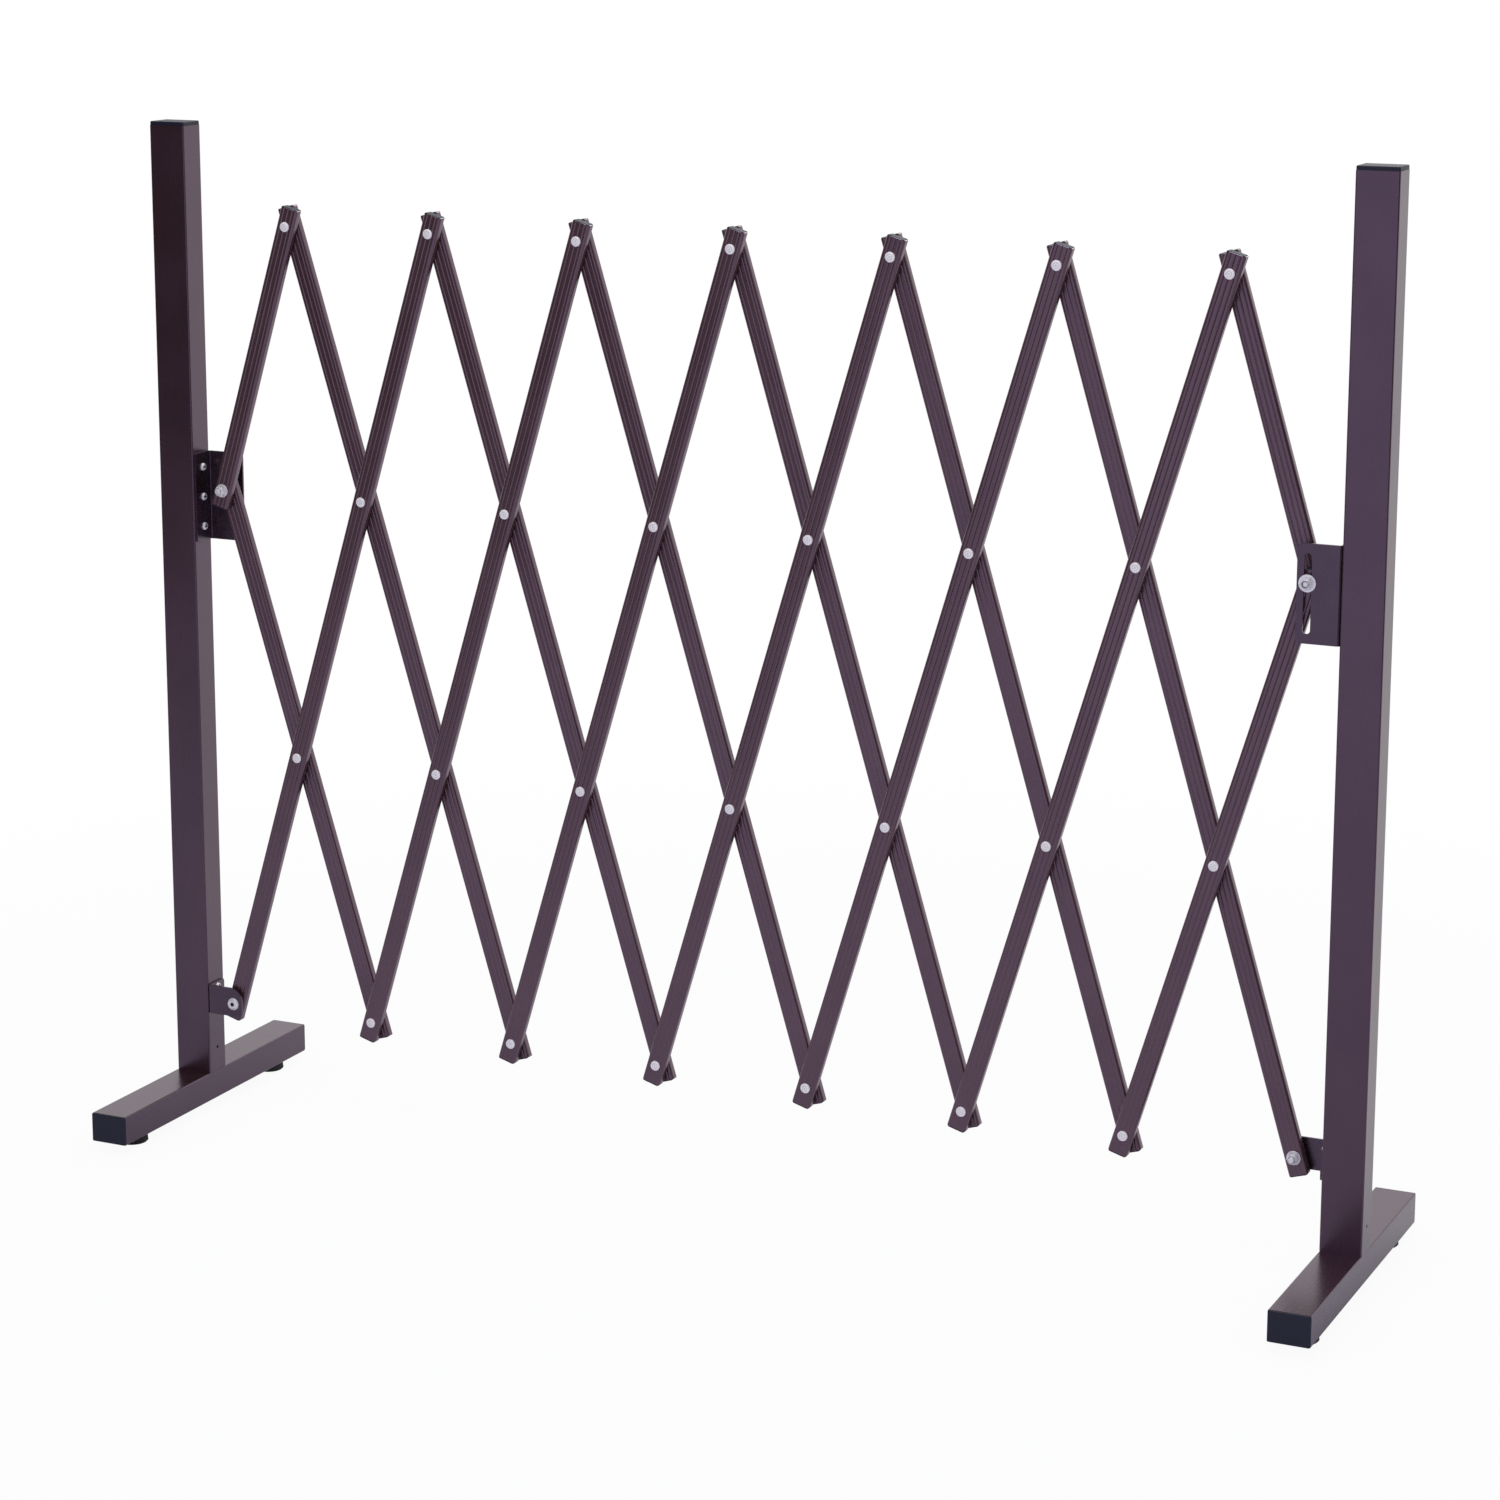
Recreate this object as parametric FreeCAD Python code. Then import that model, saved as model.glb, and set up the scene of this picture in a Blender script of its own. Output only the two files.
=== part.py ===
import FreeCAD, Part
import math
import os
from FreeCAD import Vector

# Expandable barrier: two stands joined by a scissor lattice of fluted bars.
# Millimetres. X runs along the barrier, Y through it (front is -Y), Z up.
# The origin is on the floor, midway between the posts.

# Lattice, in its half-open rest position
columns = 14
hole_spacing = 282.0
rest_half_pitch = 81.2
open_half_pitch = 132.7
closed_bar_gap = 0.8
bottom_row_z = 120.0
layer_gap = 0.4

# Fluted hollow bars and the plastic plugs in their ends
bar_width = 19.5
bar_thickness = 10.0
bar_edge_radius = 3.0
bar_wall = 1.4
bar_end_margin = 19.5
bar_end_radius = 2.8
stand_end_margin = 18.0
round_end_margin = 12.0
round_end_radius = 8.0
groove_count = 3
groove_spacing = 4.8
groove_width = 2.0
groove_depth = 0.35
bar_plug_rim = 0.9
bar_plug_depth = 10.0
plug_bolt_gap = 2.0
plug_clearance = 0.2

# Rivets
rivet_diameter = 5.0
rivet_head_diameter = 10.0
rivet_head_height = 1.8
rivet_crown_diameter = 7.4
running_fit = 0.05

# Stand tubes
post_width = 40.0
post_depth = 30.0
post_top_z = 1026.0
tube_wall = 1.5
tube_radius = 1.5
foot_height = 30.0
foot_length = 342.0

# Plastic caps that plug the tube ends
post_cap_height = 4.0
foot_cap_height = 2.0
cap_inset = 0.25
cap_edge_radius = 1.2
cap_skirt_depth = 18.0
cap_skirt_wall = 1.5

# Rubber pads under the feet
pad_diameter = 31.0
pad_height = 10.0
pad_taper = 1.0
pad_edge = 1.2
pad_end_distance = 41.0
pad_stem_diameter = 8.0
pad_bulb_diameter = 10.0
pad_bulb_height = 4.0

# Plug in the post's lower end, and the screws that draw it onto the foot
post_plug_height = 45.0
foot_screw_spacing = 18.0
foot_screw_grip = 30.0
access_hole_diameter = 14.0
side_hole_diameter = 3.2
side_hole_height = 25.0
side_hole_depth = 8.0

# Slotted upper brackets and plain lower brackets, folded from sheet
bracket_thickness = 2.0
bracket_inner_bend = 1.0
bracket_flange = 28.0
pin_distance = 31.0
tab_reach = 10.0
slot_clearance = 0.6
slot_edge = 8.8
upper_tab_radius = 4.5
flange_corner_radius = 3.0
lower_bracket_below = 13.6
lower_bracket_above = 16.8
lower_tab_radius = 13.0
lower_tab_toe_radius = 4.0

# Bracket screws
bracket_screw_diameter = 4.2
bracket_screw_head = 8.0
bracket_screw_head_height = 2.8
bracket_screw_length = 13.0
upper_screw_spacing = 30.5
lower_screw_spacing = 19.5

# Pivot bolts, slide bolts, lock nuts and their washers
bolt_diameter = 6.0
bolt_head_diameter = 13.0
bolt_head_height = 2.8
bolt_socket = 4.0
bolt_socket_depth = 2.0
bolt_tip = 1.6
slot_bolt_recess = 1.5
nut_width = 10.0
nut_hex_height = 4.4
nut_collar_diameter = 8.8
nut_collar_height = 2.0
washer_diameter = 13.5
washer_thickness = 1.2
slot_washer_diameter = 16.0
slot_washer_thickness = 1.5
spacer_diameter = 12.0

# Worked out from the driving dimensions
rest_lean = math.asin(rest_half_pitch / hole_spacing)
open_lean = math.asin(open_half_pitch / hole_spacing)
closed_lean = 0.5 * math.asin((bar_width + closed_bar_gap) / hole_spacing)
layer_y = (bar_thickness + layer_gap) / 2
lattice_half_depth = bar_thickness + layer_gap / 2
pin_x = columns / 2 * rest_half_pitch
post_face_x = pin_x + pin_distance
post_x = post_face_x + post_width / 2
foot_top_z = pad_height + foot_height
tab_outer_y = post_depth / 2
tab_inner_y = tab_outer_y - bracket_thickness
slide_row_z = bottom_row_z + 2 * hole_spacing * math.cos(rest_lean)
slot_radius = bolt_diameter / 2 + slot_clearance
slot_low_z = bottom_row_z + 2 * hole_spacing * math.cos(open_lean) - slot_radius
slot_high_z = bottom_row_z + 2 * hole_spacing * math.cos(closed_lean) + slot_radius
upper_bracket_low = slot_low_z - slot_edge
upper_bracket_high = slot_high_z + slot_edge
upper_bracket_middle = (upper_bracket_low + upper_bracket_high) / 2
lower_bracket_low = bottom_row_z - lower_bracket_below
lower_bracket_high = bottom_row_z + lower_bracket_above
lower_bracket_middle = (lower_bracket_low + lower_bracket_high) / 2
flange_middle_y = tab_inner_y - (bracket_flange - bracket_thickness) / 2
nut_height = nut_hex_height + nut_collar_height

ORIGIN = Vector(0, 0, 0)
ALONG_X = Vector(1, 0, 0)
ALONG_Y = Vector(0, 1, 0)
ALONG_Z = Vector(0, 0, 1)


def moved(shape, x=0.0, y=0.0, z=0.0):
    """A copy of the shape, shifted."""
    copy = shape.copy()
    copy.translate(Vector(x, y, z))
    return copy


def turned(shape, axis, degrees):
    """A copy of the shape, turned about an axis through the origin."""
    copy = shape.copy()
    copy.rotate(ORIGIN, axis, degrees)
    return copy


def other_side(shape):
    """The same piece on the right stand: a half turn about the vertical."""
    return turned(shape, ALONG_Z, 180)


def rounded_outline(width, height, radius):
    """A flat face about the origin in XY: a rectangle with round corners."""
    x, y = width / 2, height / 2
    sag = radius * (1 - math.sqrt(0.5))
    arcs = []
    for right, top in ((1, 1), (-1, 1), (-1, -1), (1, -1)):
        upright = Vector(right * x, top * (y - radius), 0)
        middle = Vector(right * (x - sag), top * (y - sag), 0)
        level = Vector(right * (x - radius), top * y, 0)
        ends = (upright, level) if right == top else (level, upright)
        arcs.append((ends[0], middle, ends[1]))
    edges = []
    for arc, following in zip(arcs, arcs[1:] + arcs[:1]):
        edges.append(Part.Arc(*arc).toShape())
        edges.append(Part.LineSegment(arc[2], following[0]).toShape())
    return Part.Face(Part.Wire(edges))


def polygon(points):
    """A flat face in XY with straight sides."""
    corners = [Vector(x, y, 0) for x, y in points]
    return Part.Face(Part.makePolygon(corners + corners[:1]))


def rectangle(width, height):
    """A flat face about the origin in XY with sharp corners."""
    x, y = width / 2, height / 2
    return polygon([(-x, -y), (x, -y), (x, y), (-x, y)])


def lathe(points):
    """A solid of revolution about Y, from (radius, y) points."""
    return polygon(points).revolve(ORIGIN, ALONG_Y, 360)


def bore(radius, y_from, y_to, x=0.0, z=0.0):
    """A round cutter along Y."""
    return Part.makeCylinder(radius, y_to - y_from, Vector(x, y_from, z), ALONG_Y)


def ring(outer_radius, inner_radius, y_from, y_to):
    """A flat washer or spacer about the Y axis."""
    return bore(outer_radius, y_from, y_to).cut(bore(inner_radius, y_from, y_to))


def column_x(column):
    """Where a lattice column stands: columns count from the left stand's pins."""
    return (column - columns / 2) * rest_half_pitch


def row_z(row):
    """Height of a lattice row: row 0 is the bottom one."""
    return bottom_row_z + row * hole_spacing * math.cos(rest_lean)


def front_holes(number):
    """(column, row) of each pin through a front bar, lowest first."""
    found = [(2 * number - 4 + row, row) for row in range(4)]
    return [(column, row) for column, row in found if 0 <= column <= columns]


def rear_holes(number):
    """(column, row) of each pin through a rear bar, lowest first."""
    found = [(2 * number - row, row) for row in range(4)]
    return [(column, row) for column, row in found if 0 <= column <= columns]


def on_stand(column):
    """Whether the pins of this column are a stand's own bolts."""
    return column in (0, columns)


def has_round_end(holes):
    """Whether a bar's upper end is the short rounded one beside a slotted bracket."""
    return on_stand(holes[-1][0])


def bar_ends(holes):
    """Heights of a bar's two ends over its lowest hole, with the plugs' rims."""
    lower = stand_end_margin if on_stand(holes[0][0]) else bar_end_margin
    upper = round_end_margin if has_round_end(holes) else bar_end_margin
    return -lower, (len(holes) - 1) * hole_spacing + upper


def rounded_end(shape, end, radius, way):
    """An upright bar or its plug, with the corners of one end rounded: way is 1 for the upper end."""
    longer = 8 * hole_spacing
    outline = rounded_outline(bar_width, longer, min(radius, 0.49 * bar_width))
    keep = turned(outline, ALONG_X, 90).extrude(ALONG_Y * (2 * bar_thickness))
    return shape.common(moved(keep, 0, -bar_thickness, end - way * longer / 2))


def lower_end(shape, holes):
    """A bar or its lower plug, with the corners of its lower end rounded."""
    return rounded_end(shape, bar_ends(holes)[0], bar_end_radius, -1)


def upper_end(shape, holes):
    """A bar or its upper plug, with the corners of its upper end rounded."""
    radius = round_end_radius if has_round_end(holes) else bar_end_radius
    return rounded_end(shape, bar_ends(holes)[1], radius, 1)


def bar_section():
    """The fluted section of a bar: round edges, V grooves on both faces, one hollow chamber."""
    section = rounded_outline(bar_width, bar_thickness, bar_edge_radius)
    section = section.cut(bar_chamber(0.0))
    face_y = bar_thickness / 2
    for number in range(groove_count):
        x = (number - (groove_count - 1) / 2) * groove_spacing
        for side in (-1, 1):
            lip = side * (face_y + groove_depth)
            root = side * (face_y - groove_depth)
            groove = polygon([(x - groove_width, lip), (x + groove_width, lip), (x, root)])
            section = section.cut(groove)
    return section


def bar_chamber(clearance):
    """The hollow of a bar's section, made smaller by a clearance all round."""
    lost = 2 * (bar_wall + clearance)
    radius = max(bar_edge_radius - bar_wall - clearance, 0.3)
    return rounded_outline(bar_width - lost, bar_thickness - lost, radius)


def leaned(shape, holes, lean, y):
    """A piece of a bar, drawn upright with its lowest hole at the origin, put onto its pins."""
    column, row = holes[0]
    return moved(turned(shape, ALONG_Y, math.degrees(lean)), column_x(column), y, row_z(row))


def bar(holes, lean, y):
    """One lattice bar, leaning by an angle from the vertical."""
    low, high = bar_ends(holes)
    solid = bar_section().extrude(ALONG_Z * (high - low - 2 * bar_plug_rim))
    solid = moved(solid, 0, 0, low + bar_plug_rim)
    solid = upper_end(lower_end(solid, holes), holes)
    for number, (column, row) in enumerate(holes):
        pin = bolt_diameter if on_stand(column) else rivet_diameter
        hole = bore(pin / 2 + running_fit, -bar_thickness, bar_thickness, 0, number * hole_spacing)
        solid = solid.cut(hole)
    return leaned(solid, holes, lean, y)


def end_plug(margin):
    """A bar's end plug, standing on the bar's end: a thin rim, and a tongue that stops short of a bolt."""
    rim = rounded_outline(bar_width, bar_thickness, bar_edge_radius).extrude(ALONG_Z * bar_plug_rim)
    room = margin - bar_plug_rim - bolt_diameter / 2 - plug_bolt_gap
    return rim.fuse(bar_chamber(plug_clearance).extrude(ALONG_Z * -min(bar_plug_depth, room)))


def bar_plugs(holes, lean, y):
    """The plugs in the two ends of a bar."""
    low, high = bar_ends(holes)
    top_margin = high - (len(holes) - 1) * hole_spacing
    lower = moved(turned(end_plug(-low), ALONG_X, 180), 0, 0, low + bar_plug_rim)
    upper = moved(end_plug(top_margin), 0, 0, high - bar_plug_rim)
    plugs = [lower_end(lower, holes), upper_end(upper, holes)]
    return [leaned(plug, holes, lean, y) for plug in plugs]


def rivet():
    """A rivet about the Y axis: a shank with a low bevelled head at each end."""
    shank = rivet_diameter / 2
    head = rivet_head_diameter / 2
    crown = rivet_crown_diameter / 2
    seat = lattice_half_depth
    top = seat + rivet_head_height
    half = [(0, top), (crown, top), (head, seat), (shank, seat)]
    return lathe(half + [(radius, -y) for radius, y in reversed(half)])


def rivets_of(number):
    """Every rivet that a front bar carries."""
    places = [hole for hole in front_holes(number) if not on_stand(hole[0])]
    return [moved(rivet(), column_x(column), 0, row_z(row)) for column, row in places]


def tube(width, depth, length):
    """A rectangular tube standing on the XY plane."""
    outer = rounded_outline(width, depth, tube_radius)
    return outer.cut(rectangle(width - 2 * tube_wall, depth - 2 * tube_wall)).extrude(ALONG_Z * length)


def tube_cap(width, depth, height):
    """A cap on the end of an upright tube: a low head, and a hollow skirt that plugs the tube."""
    head = rounded_outline(width - 2 * cap_inset, depth - 2 * cap_inset, tube_radius)
    head = head.extrude(ALONG_Z * height)
    rim = [edge for edge in head.Edges if edge.BoundBox.ZMin > height - 0.01]
    head = head.makeFillet(min(cap_edge_radius, height / 2), rim)
    lost = 2 * (tube_wall + plug_clearance)
    thin = 2 * cap_skirt_wall
    skirt = rectangle(width - lost, depth - lost)
    skirt = skirt.cut(rectangle(width - lost - thin, depth - lost - thin))
    return head.fuse(skirt.extrude(ALONG_Z * -cap_skirt_depth))


def pad():
    """A push-in rubber pad: a tapered disc, and a stem with a bulb above the tube's wall."""
    foot = pad_diameter / 2
    shoulder = foot - pad_taper
    stem = pad_stem_diameter / 2
    bulb = pad_bulb_diameter / 2
    wall = pad_height + tube_wall
    tip = wall + pad_bulb_height
    points = [(0, 0), (foot - pad_edge, 0), (foot, pad_edge), (shoulder, pad_height)]
    points += [(stem, pad_height), (stem, wall), (bulb, wall), (stem * 0.6, tip), (0, tip)]
    return turned(lathe(points), ALONG_X, 90)


def hexagon(width, y_from, y_to):
    """A six-sided bar along Y, given across its flats."""
    reach = width / math.sqrt(3)
    corners = [(reach * math.cos(n * math.pi / 3), reach * math.sin(n * math.pi / 3)) for n in range(6)]
    flat = turned(polygon(corners), ALONG_X, 90)
    return moved(flat, 0, y_from, 0).extrude(ALONG_Y * (y_to - y_from))


def button_bolt(length):
    """A button-head bolt about Y: seat at y = 0, shank towards +Y, hexagon socket in the head."""
    shank = bolt_diameter / 2
    head = bolt_head_diameter / 2
    high = bolt_head_height
    points = [(0, -high), (head * 0.58, -high), (head * 0.88, -high * 0.62), (head, 0)]
    points += [(shank, 0), (shank, length), (0, length)]
    return lathe(points).cut(hexagon(bolt_socket, -high, -high + bolt_socket_depth))


def pan_screw():
    """A pan-head screw about Y: seat at y = 0, pointed shank towards +Y."""
    shank = bracket_screw_diameter / 2
    head = bracket_screw_head / 2
    high = bracket_screw_head_height
    long = bracket_screw_length
    points = [(0, -high), (head * 0.6, -high), (head, 0)]
    points += [(shank, 0), (shank, long - 2 * shank), (0, long)]
    return lathe(points)


def lock_nut():
    """A lock nut about Y: seat at y = 0, a hexagon and then a round collar towards -Y."""
    hexagon_part = hexagon(nut_width, -nut_hex_height, 0)
    collar = nut_collar_diameter / 2
    top = nut_height - nut_collar_height * 0.4
    points = [(0, -nut_hex_height), (collar, -nut_hex_height), (collar, -top)]
    points += [(collar * 0.84, -nut_height), (0, -nut_height)]
    nut = hexagon_part.fuse(lathe(points))
    return nut.cut(bore(bolt_diameter / 2 + running_fit, -nut_height, 0))


def bolt_ring(diameter, y_from, y_to):
    """A washer or spacer on a bolt."""
    return ring(diameter / 2, bolt_diameter / 2 + running_fit, y_from, y_to)


def angle_profile():
    """The folded section of a bracket in XY: flange against the left post, tab at the rear."""
    x0, y0 = -post_face_x, tab_outer_y
    inner = bracket_inner_bend
    outer = inner + bracket_thickness
    tip = x0 + pin_distance + tab_reach
    flange_end = y0 - bracket_flange
    bend = Vector(x0 + outer, y0 - outer, 0)
    slope = math.sqrt(0.5)
    points = [Vector(x0, flange_end, 0), Vector(x0, bend.y, 0), Vector(bend.x, y0, 0)]
    points += [Vector(tip, y0, 0), Vector(tip, tab_inner_y, 0), Vector(bend.x, tab_inner_y, 0)]
    points += [Vector(x0 + bracket_thickness, bend.y, 0), Vector(x0 + bracket_thickness, flange_end, 0)]
    outer_arc = Part.Arc(points[1], bend + Vector(-slope, slope, 0) * outer, points[2]).toShape()
    inner_arc = Part.Arc(points[5], bend + Vector(-slope, slope, 0) * inner, points[6]).toShape()
    lines = {n: Part.LineSegment(points[n], points[(n + 1) % 8]).toShape() for n in (0, 2, 3, 4, 6, 7)}
    edges = [lines[0], outer_arc, lines[2], lines[3], lines[4], inner_arc, lines[6], lines[7]]
    return Part.Face(Part.Wire(edges))


def rounded_corner(solid, radius, x=None, y=None, z=None):
    """Rounds the short edges that lie at the given x or y, and z."""
    def near(box):
        wanted = ((x, box.XMin, box.XMax), (y, box.YMin, box.YMax), (z, box.ZMin, box.ZMax))
        return all(at is None or max(abs(low - at), abs(high - at)) < 0.01 for at, low, high in wanted)
    return solid.makeFillet(radius, [edge for edge in solid.Edges if near(edge.BoundBox)])


def screw_heights(middle, spacing, count):
    """Evenly spaced heights about a middle."""
    return [middle + (number - (count - 1) / 2) * spacing for number in range(count)]


def bracket(low, high, top_radius, bottom_radius, heights):
    """A bracket on the left post, with its tab at the rear, and holes for its screws."""
    solid = moved(angle_profile().extrude(ALONG_Z * (high - low)), 0, 0, low)
    tip = -pin_x + tab_reach
    flange_end = tab_outer_y - bracket_flange
    solid = rounded_corner(solid, top_radius, x=tip, z=high)
    solid = rounded_corner(solid, bottom_radius, x=tip, z=low)
    for z in (low, high):
        solid = rounded_corner(solid, flange_corner_radius, y=flange_end, z=z)
    for z in heights:
        hole = Part.makeCylinder(
            bracket_screw_diameter / 2 + running_fit,
            2 * bracket_thickness,
            Vector(-post_face_x - bracket_thickness / 2, flange_middle_y, z),
            ALONG_X,
        )
        solid = solid.cut(hole)
    return solid


def upper_bracket():
    """The slotted bracket of the left stand: its tab stands behind the lattice."""
    heights = screw_heights(upper_bracket_middle, upper_screw_spacing, 3)
    solid = bracket(upper_bracket_low, upper_bracket_high, upper_tab_radius, upper_tab_radius, heights)
    slot = rounded_outline(2 * slot_radius, slot_high_z - slot_low_z, slot_radius * 0.999)
    slot = turned(slot, ALONG_X, 90).extrude(ALONG_Y * (2 * bracket_thickness))
    middle = (slot_low_z + slot_high_z) / 2
    return solid.cut(moved(slot, -pin_x, tab_inner_y - bracket_thickness / 2, middle))


def mirrored_to_front(shape):
    """The same folded piece with its tab at the front."""
    return shape.mirror(ORIGIN, ALONG_Y)


def lower_bracket():
    """The plain bracket of the left stand: its tab stands in front of the lattice."""
    heights = screw_heights(lower_bracket_middle, lower_screw_spacing, 2)
    ends = (lower_bracket_low, lower_bracket_high)
    solid = bracket(*ends, lower_tab_radius, lower_tab_toe_radius, heights)
    hole = bore(bolt_diameter / 2 + running_fit, 0, post_depth, -pin_x, bottom_row_z)
    return mirrored_to_front(solid.cut(hole))


def bracket_screws():
    """The screws of the left stand's two brackets."""
    screw = turned(pan_screw(), ALONG_Z, 90)
    x = -post_face_x + bracket_thickness
    upper = screw_heights(upper_bracket_middle, upper_screw_spacing, 3)
    lower = screw_heights(lower_bracket_middle, lower_screw_spacing, 2)
    found = [moved(screw, x, flange_middle_y, z) for z in upper]
    return found + [moved(screw, x, -flange_middle_y, z) for z in lower]


def screw_holes():
    """Cutters for the bracket screws through the left post's inner wall."""
    radius = bracket_screw_diameter / 2 + running_fit
    start = -post_face_x - 2 * tube_wall
    upper = screw_heights(upper_bracket_middle, upper_screw_spacing, 3)
    lower = screw_heights(lower_bracket_middle, lower_screw_spacing, 2)
    places = [(flange_middle_y, z) for z in upper] + [(-flange_middle_y, z) for z in lower]
    return [Part.makeCylinder(radius, 3 * tube_wall, Vector(start, y, z), ALONG_X) for y, z in places]


def side_hole(x):
    """Cutter for the small hole low on a post's +X side, which runs on into the plug."""
    start = Vector(x + post_width / 2 - side_hole_depth, 0, foot_top_z + side_hole_height)
    return Part.makeCylinder(side_hole_diameter / 2, 2 * side_hole_depth, start, ALONG_X)


def left_post():
    """The left post, standing on its foot."""
    solid = moved(tube(post_width, post_depth, post_top_z - foot_top_z), -post_x, 0, foot_top_z)
    for hole in screw_holes():
        solid = solid.cut(hole)
    return solid


def foot_screw_places():
    """X of the two screws that hold the left post on its foot."""
    return [-post_x - foot_screw_spacing / 2, -post_x + foot_screw_spacing / 2]


def post_plug():
    """The block inside the left post's lower end, with bores for the foot screws."""
    lost = 2 * (tube_wall + plug_clearance)
    block = rectangle(post_width - lost, post_depth - lost).extrude(ALONG_Z * post_plug_height)
    block = moved(block, -post_x, 0, foot_top_z)
    for x in foot_screw_places():
        start = Vector(x, 0, foot_top_z)
        radius = bolt_diameter / 2 + running_fit
        block = block.cut(Part.makeCylinder(radius, foot_screw_grip + 1, start))
    return block


def foot_screws():
    """The screws through the left foot's upper wall into the post's plug."""
    screw = turned(button_bolt(tube_wall + foot_screw_grip), ALONG_X, 90)
    return [moved(screw, x, 0, foot_top_z - tube_wall) for x in foot_screw_places()]


def pad_places():
    """Y of the two pads under a foot."""
    reach = foot_length / 2 - pad_end_distance
    return [-reach, reach]


def left_foot():
    """The left foot tube, with screw holes above, access holes below and holes for the pads."""
    solid = turned(tube(post_width, foot_height, foot_length), ALONG_X, 90)
    solid = moved(solid, -post_x, foot_length / 2, pad_height + foot_height / 2)
    for x in foot_screw_places():
        upper = Vector(x, 0, foot_top_z - 2 * tube_wall)
        lower = Vector(x, 0, pad_height - tube_wall)
        solid = solid.cut(Part.makeCylinder(bolt_diameter / 2 + running_fit, 3 * tube_wall, upper))
        solid = solid.cut(Part.makeCylinder(access_hole_diameter / 2, 3 * tube_wall, lower))
    for y in pad_places():
        start = Vector(-post_x, y, pad_height - tube_wall)
        solid = solid.cut(Part.makeCylinder(pad_stem_diameter / 2 + running_fit, 3 * tube_wall, start))
    return solid


def foot_caps():
    """The caps on the two ends of the left foot."""
    cap = tube_cap(post_width, foot_height, foot_cap_height)
    middle = pad_height + foot_height / 2
    front = moved(turned(cap, ALONG_X, 90), -post_x, -foot_length / 2, middle)
    rear = moved(turned(cap, ALONG_X, -90), -post_x, foot_length / 2, middle)
    return [front, rear]


def pivot_bolt():
    """The left stand's lower bolt, put in from the front: bolt, spacer, washer and lock nut."""
    rear = -layer_gap / 2
    grip = tab_outer_y + rear + washer_thickness
    bolt = moved(button_bolt(grip + nut_height + bolt_tip), 0, -tab_outer_y, 0)
    spacer = bolt_ring(spacer_diameter, -tab_inner_y, -lattice_half_depth)
    washer = bolt_ring(washer_diameter, rear, rear + washer_thickness)
    nut = moved(turned(lock_nut(), ALONG_Z, 180), 0, rear + washer_thickness, 0)
    return [moved(piece, -pin_x, 0, bottom_row_z) for piece in (bolt, spacer, washer, nut)]


def slide_bolt(tab_at_front):
    """Bolt, spacer, washers and nut of an upper slide, about Y at the origin; the nut faces front."""
    slot_face = tab_outer_y + slot_washer_thickness
    bar_face = lattice_half_depth + washer_thickness
    front, rear = (slot_face, bar_face) if tab_at_front else (bar_face, slot_face)
    tip = -slot_bolt_recess if tab_at_front else bolt_tip
    bolt = turned(button_bolt(front + rear + nut_height + tip), ALONG_Z, 180)
    side = -1 if tab_at_front else 1
    spacer = bolt_ring(spacer_diameter, *sorted((side * lattice_half_depth, side * tab_inner_y)))
    wide = bolt_ring(slot_washer_diameter, *sorted((side * tab_outer_y, side * slot_face)))
    small = bolt_ring(washer_diameter, *sorted((-side * lattice_half_depth, -side * bar_face)))
    return [moved(bolt, 0, rear, 0), spacer, wide, small, moved(lock_nut(), 0, -front, 0)]


def stand_pieces():
    """Every piece of the left stand, by name."""
    post_cap = moved(tube_cap(post_width, post_depth, post_cap_height), -post_x, 0, post_top_z)
    return {
        "post": [left_post()],
        "foot": [left_foot()],
        "tube_caps": [post_cap] + foot_caps(),
        "foot_pads": [moved(pad(), -post_x, y, 0) for y in pad_places()],
        "post_plug": [post_plug()],
        "screws": bracket_screws() + foot_screws(),
        "upper_bracket": [upper_bracket()],
        "lower_bracket": [lower_bracket()],
        "pivot_bolt": pivot_bolt(),
    }


def all_pieces():
    """Every node of the barrier, as a list of solids by name."""
    pieces = {}
    for name, solids in stand_pieces().items():
        pieces["left_" + name] = solids
        pieces["right_" + name] = [other_side(solid) for solid in solids]
    for side, x in (("left", -1), ("right", 1)):
        for name in ("_post", "_post_plug"):
            pieces[side + name] = [solid.cut(side_hole(x * post_x)) for solid in pieces[side + name]]
        slide = slide_bolt(tab_at_front=side == "right")
        pieces[side + "_slide_bolt"] = [moved(solid, x * pin_x, 0, slide_row_z) for solid in slide]
    for number in range(1, columns // 2 + 2):
        front = (front_holes(number), rest_lean, -layer_y)
        rear = (rear_holes(number), -rest_lean, layer_y)
        pieces[f"front_bar_{number}"] = [bar(*front)]
        pieces[f"front_plugs_{number}"] = bar_plugs(*front)
        pieces[f"rear_bar_{number}"] = [bar(*rear)]
        pieces[f"rear_plugs_{number}"] = bar_plugs(*rear)
        pieces[f"rivets_{number}"] = rivets_of(number)
    return pieces


os.makedirs("parts", exist_ok=True)
for node, solids in all_pieces().items():
    shape = solids[0] if len(solids) == 1 else Part.makeCompound(solids)
    shape.exportStep(f"parts/{node}.step")
print("lean at rest, closed and open, degrees:")
print([round(math.degrees(lean), 4) for lean in (rest_lean, closed_lean, open_lean)])
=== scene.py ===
import math

import bpy
import numpy as np
from mathutils import Matrix, Vector


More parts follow.
